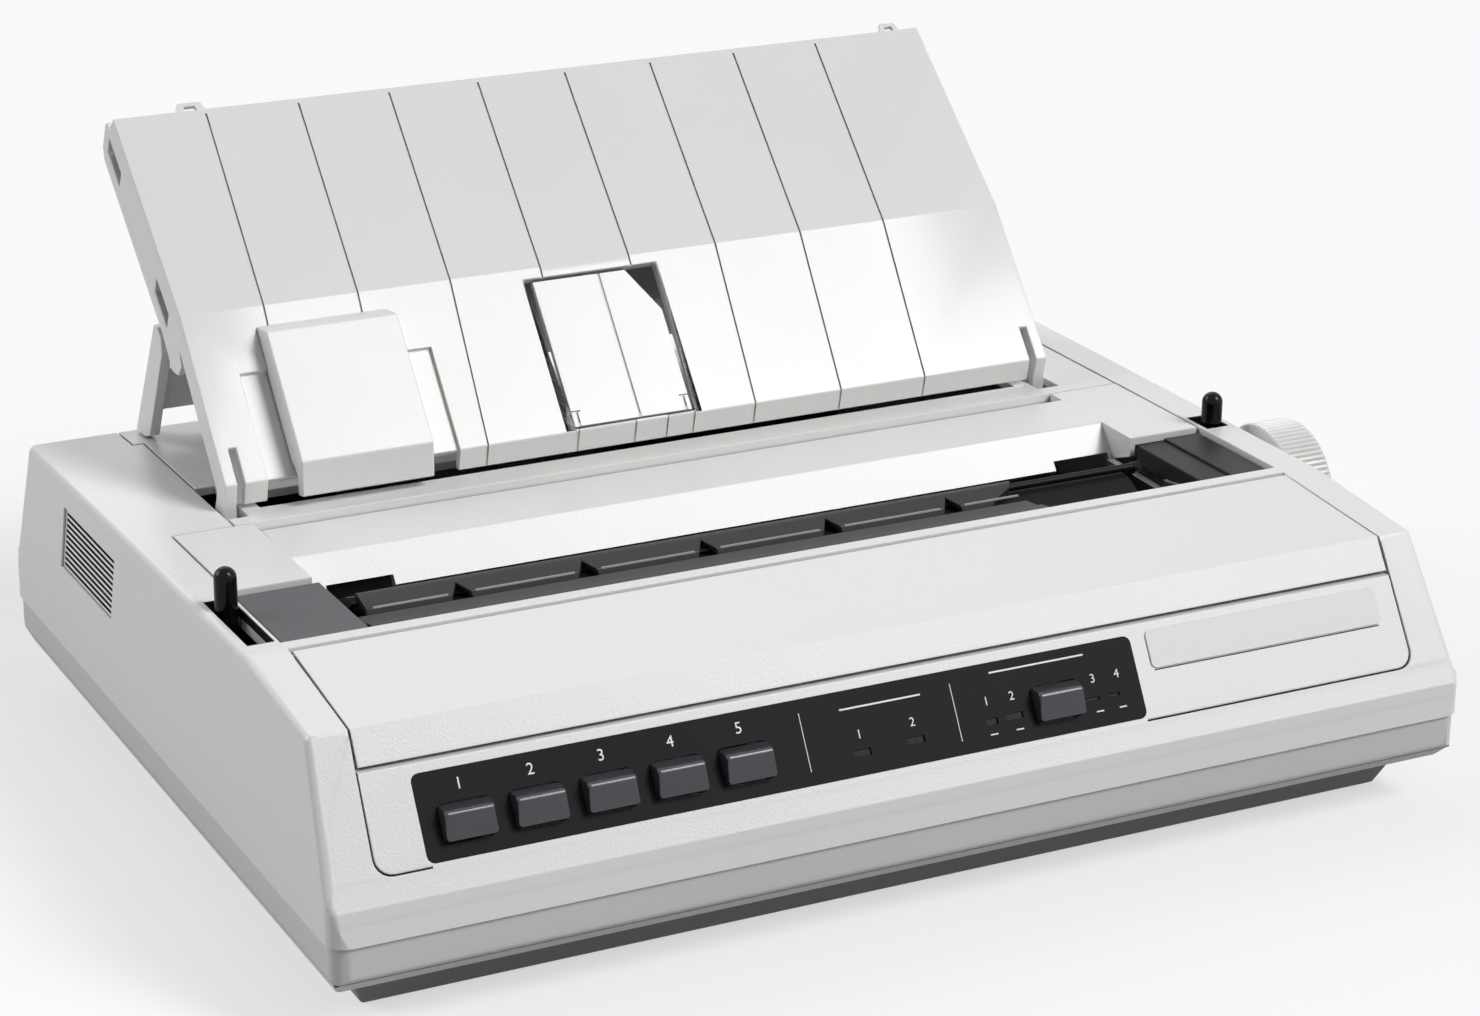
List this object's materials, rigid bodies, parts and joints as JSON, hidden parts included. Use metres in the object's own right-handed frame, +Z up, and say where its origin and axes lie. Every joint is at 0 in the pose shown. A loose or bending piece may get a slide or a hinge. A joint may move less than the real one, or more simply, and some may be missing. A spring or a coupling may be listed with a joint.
{
  "type": "dot matrix printer",
  "caption": "Desktop dot matrix printer with hinged access and rear covers, a raised paper separator with its leg, levers, platen knob and a moving print carriage.",
  "frame": {"origin": "centre of the case's footprint, on the surface the printer stands on", "axes": "+X towards the platen knob, -Y the front with the control panel, +Z up"},
  "size_m": [0.372, 0.2896, 0.1827],
  "materials": {
    "case_shell": "fine texture",
    "lower_shell": "fine texture",
    "base_plastic": "fine texture",
    "dark_trim": "fine texture",
    "black_plastic": "satin",
    "panel_film": "satin",
    "key_plastic": "fine texture",
    "lamp_lens": "gloss",
    "label": "satin",
    "lever_cap": "gloss",
    "rubber": "matt",
    "steel": "satin",
    "black_steel": "satin",
    "gear_plastic": "satin",
    "brass": "satin",
    "circuit_board": "satin",
    "cast_alloy": "cast",
    "ribbon_fabric": "woven",
    "core_iron": "lacquered",
    "connector_blue": "satin"
  },
  "bodies": {
    "base": {"base_pan": "base_plastic", "rubber_feet": "rubber", "lower_case": "lower_shell", "case_screws": "steel", "upper_case": "case_shell", "side_vent": "case_shell", "middle_cover": "case_shell", "control_panel": "case_shell", "panel_overlay": "panel_film", "panel_lights": "lamp_lens", "name_plate": "label", "panel_board": "circuit_board", "end_cap_left": "dark_trim", "end_cap_right": "dark_trim", "paper_guard": "dark_trim", "lever_brackets": "steel", "side_frame_left": "steel", "side_frame_right": "steel", "chassis_plate": "steel", "front_rail": "steel", "paper_chute": "black_plastic", "platen_bushings": "gear_plastic", "feed_motor": "core_iron", "guide_rod": "steel", "carriage_motor": "core_iron", "timing_belt": "rubber", "main_board": "circuit_board", "transformer": "core_iron", "mains_inlet": "black_plastic", "interface_connector": "connector_blue"},
    "rear_cover": {"rear_cover": "case_shell"},
    "access_cover": {"access_cover": "case_shell"},
    "key_1": {"panel_key_1": "key_plastic"},
    "key_2": {"panel_key_2": "key_plastic"},
    "key_3": {"panel_key_3": "key_plastic"},
    "key_4": {"panel_key_4": "key_plastic"},
    "key_5": {"panel_key_5": "key_plastic"},
    "key_6": {"panel_key_6": "key_plastic"},
    "separator": {"separator": "case_shell"},
    "separator_leg": {"separator_leg": "case_shell"},
    "paper_guide": {"paper_guide": "case_shell"},
    "guide_flap": {"guide_flap": "case_shell"},
    "bail": {"bail_bar": "black_steel", "bail_rod": "steel"},
    "bail_lever": {"bail_lever": "lever_cap"},
    "release_lever": {"release_lever": "lever_cap"},
    "platen": {"platen_roller": "rubber", "platen_shaft": "steel", "platen_gear": "gear_plastic", "platen_knob": "case_shell"},
    "idler_gear": {"idler_gear": "gear_plastic"},
    "motor_pinion": {"motor_pinion": "brass"},
    "pressure_rollers": {"pressure_rollers": "rubber"},
    "carriage": {"carriage": "black_plastic", "print_head": "cast_alloy", "ribbon_cartridge": "black_plastic", "ink_ribbon": "ribbon_fabric"},
    "motor_pulley": {"motor_pulley": "steel"},
    "idler_pulley": {"idler_pulley": "steel"},
    "power_switch": {"power_switch": "key_plastic"}
  },
  "joints": [
    {"name": "rear_cover_hinge", "type": "hinge", "parent": "base", "child": "rear_cover", "pos_m": [0, 0.1282, 0.07795], "axis": [-1, 0, 0], "range_deg": [0, 60]},
    {"name": "access_cover_hinge", "type": "hinge", "parent": "base", "child": "access_cover", "pos_m": [0, -0.0684, 0.0817], "axis": [-1, 0, 0], "range_deg": [0, 95]},
    {"name": "key_1_press", "type": "slide", "parent": "base", "child": "key_1", "axis": [0, 0.8625, -0.5061], "range_m": [0, 0.0008], "stiffness_N_per_m": 500, "springref_m": -0.0006},
    {"name": "key_2_press", "type": "slide", "parent": "base", "child": "key_2", "axis": [0, 0.8625, -0.5061], "range_m": [0, 0.0008], "stiffness_N_per_m": 500, "springref_m": -0.0006},
    {"name": "key_3_press", "type": "slide", "parent": "base", "child": "key_3", "axis": [0, 0.8625, -0.5061], "range_m": [0, 0.0008], "stiffness_N_per_m": 500, "springref_m": -0.0006},
    {"name": "key_4_press", "type": "slide", "parent": "base", "child": "key_4", "axis": [0, 0.8625, -0.5061], "range_m": [0, 0.0008], "stiffness_N_per_m": 500, "springref_m": -0.0006},
    {"name": "key_5_press", "type": "slide", "parent": "base", "child": "key_5", "axis": [0, 0.8625, -0.5061], "range_m": [0, 0.0008], "stiffness_N_per_m": 500, "springref_m": -0.0006},
    {"name": "key_6_press", "type": "slide", "parent": "base", "child": "key_6", "axis": [0, 0.8625, -0.5061], "range_m": [0, 0.0008], "stiffness_N_per_m": 500, "springref_m": -0.0006},
    {"name": "separator_tilt", "type": "hinge", "parent": "rear_cover", "child": "separator", "pos_m": [0, 0.048, 0.076], "axis": [-1, 0, 0], "range_deg": [0, 24]},
    {"name": "separator_leg_fold", "type": "hinge", "parent": "separator", "child": "separator_leg", "pos_m": [0, 0.10373, 0.11604], "axis": [1, 0, 0], "range_deg": [0, 96]},
    {"name": "paper_guide_slide", "type": "slide", "parent": "separator", "child": "paper_guide", "axis": [1, 0, 0], "range_m": [-0.008, 0.0098]},
    {"name": "guide_flap_tilt", "type": "hinge", "parent": "separator", "child": "guide_flap", "pos_m": [-0.0072, 0.04505, 0.09204], "axis": [1, 0, 0], "range_deg": [0, 25]},
    {"name": "bail_lift", "type": "hinge", "parent": "base", "child": "bail", "pos_m": [0, -0.012, 0.068], "axis": [-1, 0, 0], "range_deg": [0, 24.3]},
    {"name": "bail_lever_swing", "type": "hinge", "parent": "base", "child": "bail_lever", "pos_m": [-0.1678, -0.031, 0.038], "axis": [1, 0, 0], "range_deg": [0, 27]},
    {"name": "release_lever_swing", "type": "hinge", "parent": "base", "child": "release_lever", "pos_m": [0.1678, -0.0168, 0.041], "axis": [-1, 0, 0], "range_deg": [0, 7]},
    {"name": "platen_spin", "type": "hinge", "parent": "base", "child": "platen", "pos_m": [0, -0.031, 0.0629], "axis": [1, 0, 0], "continuous": true},
    {"name": "idler_gear_spin", "type": "hinge", "parent": "base", "child": "idler_gear", "pos_m": [-0.144, -0.01878, 0.04304], "axis": [1, 0, 0], "continuous": true},
    {"name": "motor_pinion_spin", "type": "hinge", "parent": "base", "child": "motor_pinion", "pos_m": [-0.144, -0.01159, 0.03135], "axis": [1, 0, 0], "continuous": true},
    {"name": "pressure_rollers_spin", "type": "hinge", "parent": "base", "child": "pressure_rollers", "pos_m": [0, -0.02548, 0.04231], "axis": [1, 0, 0], "continuous": true},
    {"name": "carriage_slide", "type": "slide", "parent": "base", "child": "carriage", "axis": [1, 0, 0], "range_m": [-0.208, 0]},
    {"name": "motor_pulley_spin", "type": "hinge", "parent": "base", "child": "motor_pulley", "pos_m": [0.118, -0.098, 0.0425], "axis": [0, 0, 1], "range_deg": [-20, 1720]},
    {"name": "idler_pulley_spin", "type": "hinge", "parent": "base", "child": "idler_pulley", "pos_m": [-0.118, -0.098, 0.0425], "axis": [0, 0, 1], "range_deg": [-20, 1720]},
    {"name": "power_switch_rock", "type": "hinge", "parent": "base", "child": "power_switch", "pos_m": [-0.088, 0.13694, 0.048], "axis": [-1, 0, 0], "range_deg": [0, 16]}
  ],
  "couplings": [
    {"joint": "separator_leg_fold", "follows": "separator_tilt", "ratio": 4},
    {"joint": "bail_lever_swing", "follows": "bail_lift", "ratio": 1.1111},
    {"joint": "idler_gear_spin", "follows": "platen_spin", "ratio": -1.6364},
    {"joint": "motor_pinion_spin", "follows": "platen_spin", "ratio": 3},
    {"joint": "pressure_rollers_spin", "follows": "platen_spin", "ratio": -2.5},
    {"joint": "motor_pulley_spin", "follows": "carriage_slide", "rad_per_m": -142.86},
    {"joint": "idler_pulley_spin", "follows": "carriage_slide", "rad_per_m": -142.86}
  ]
}
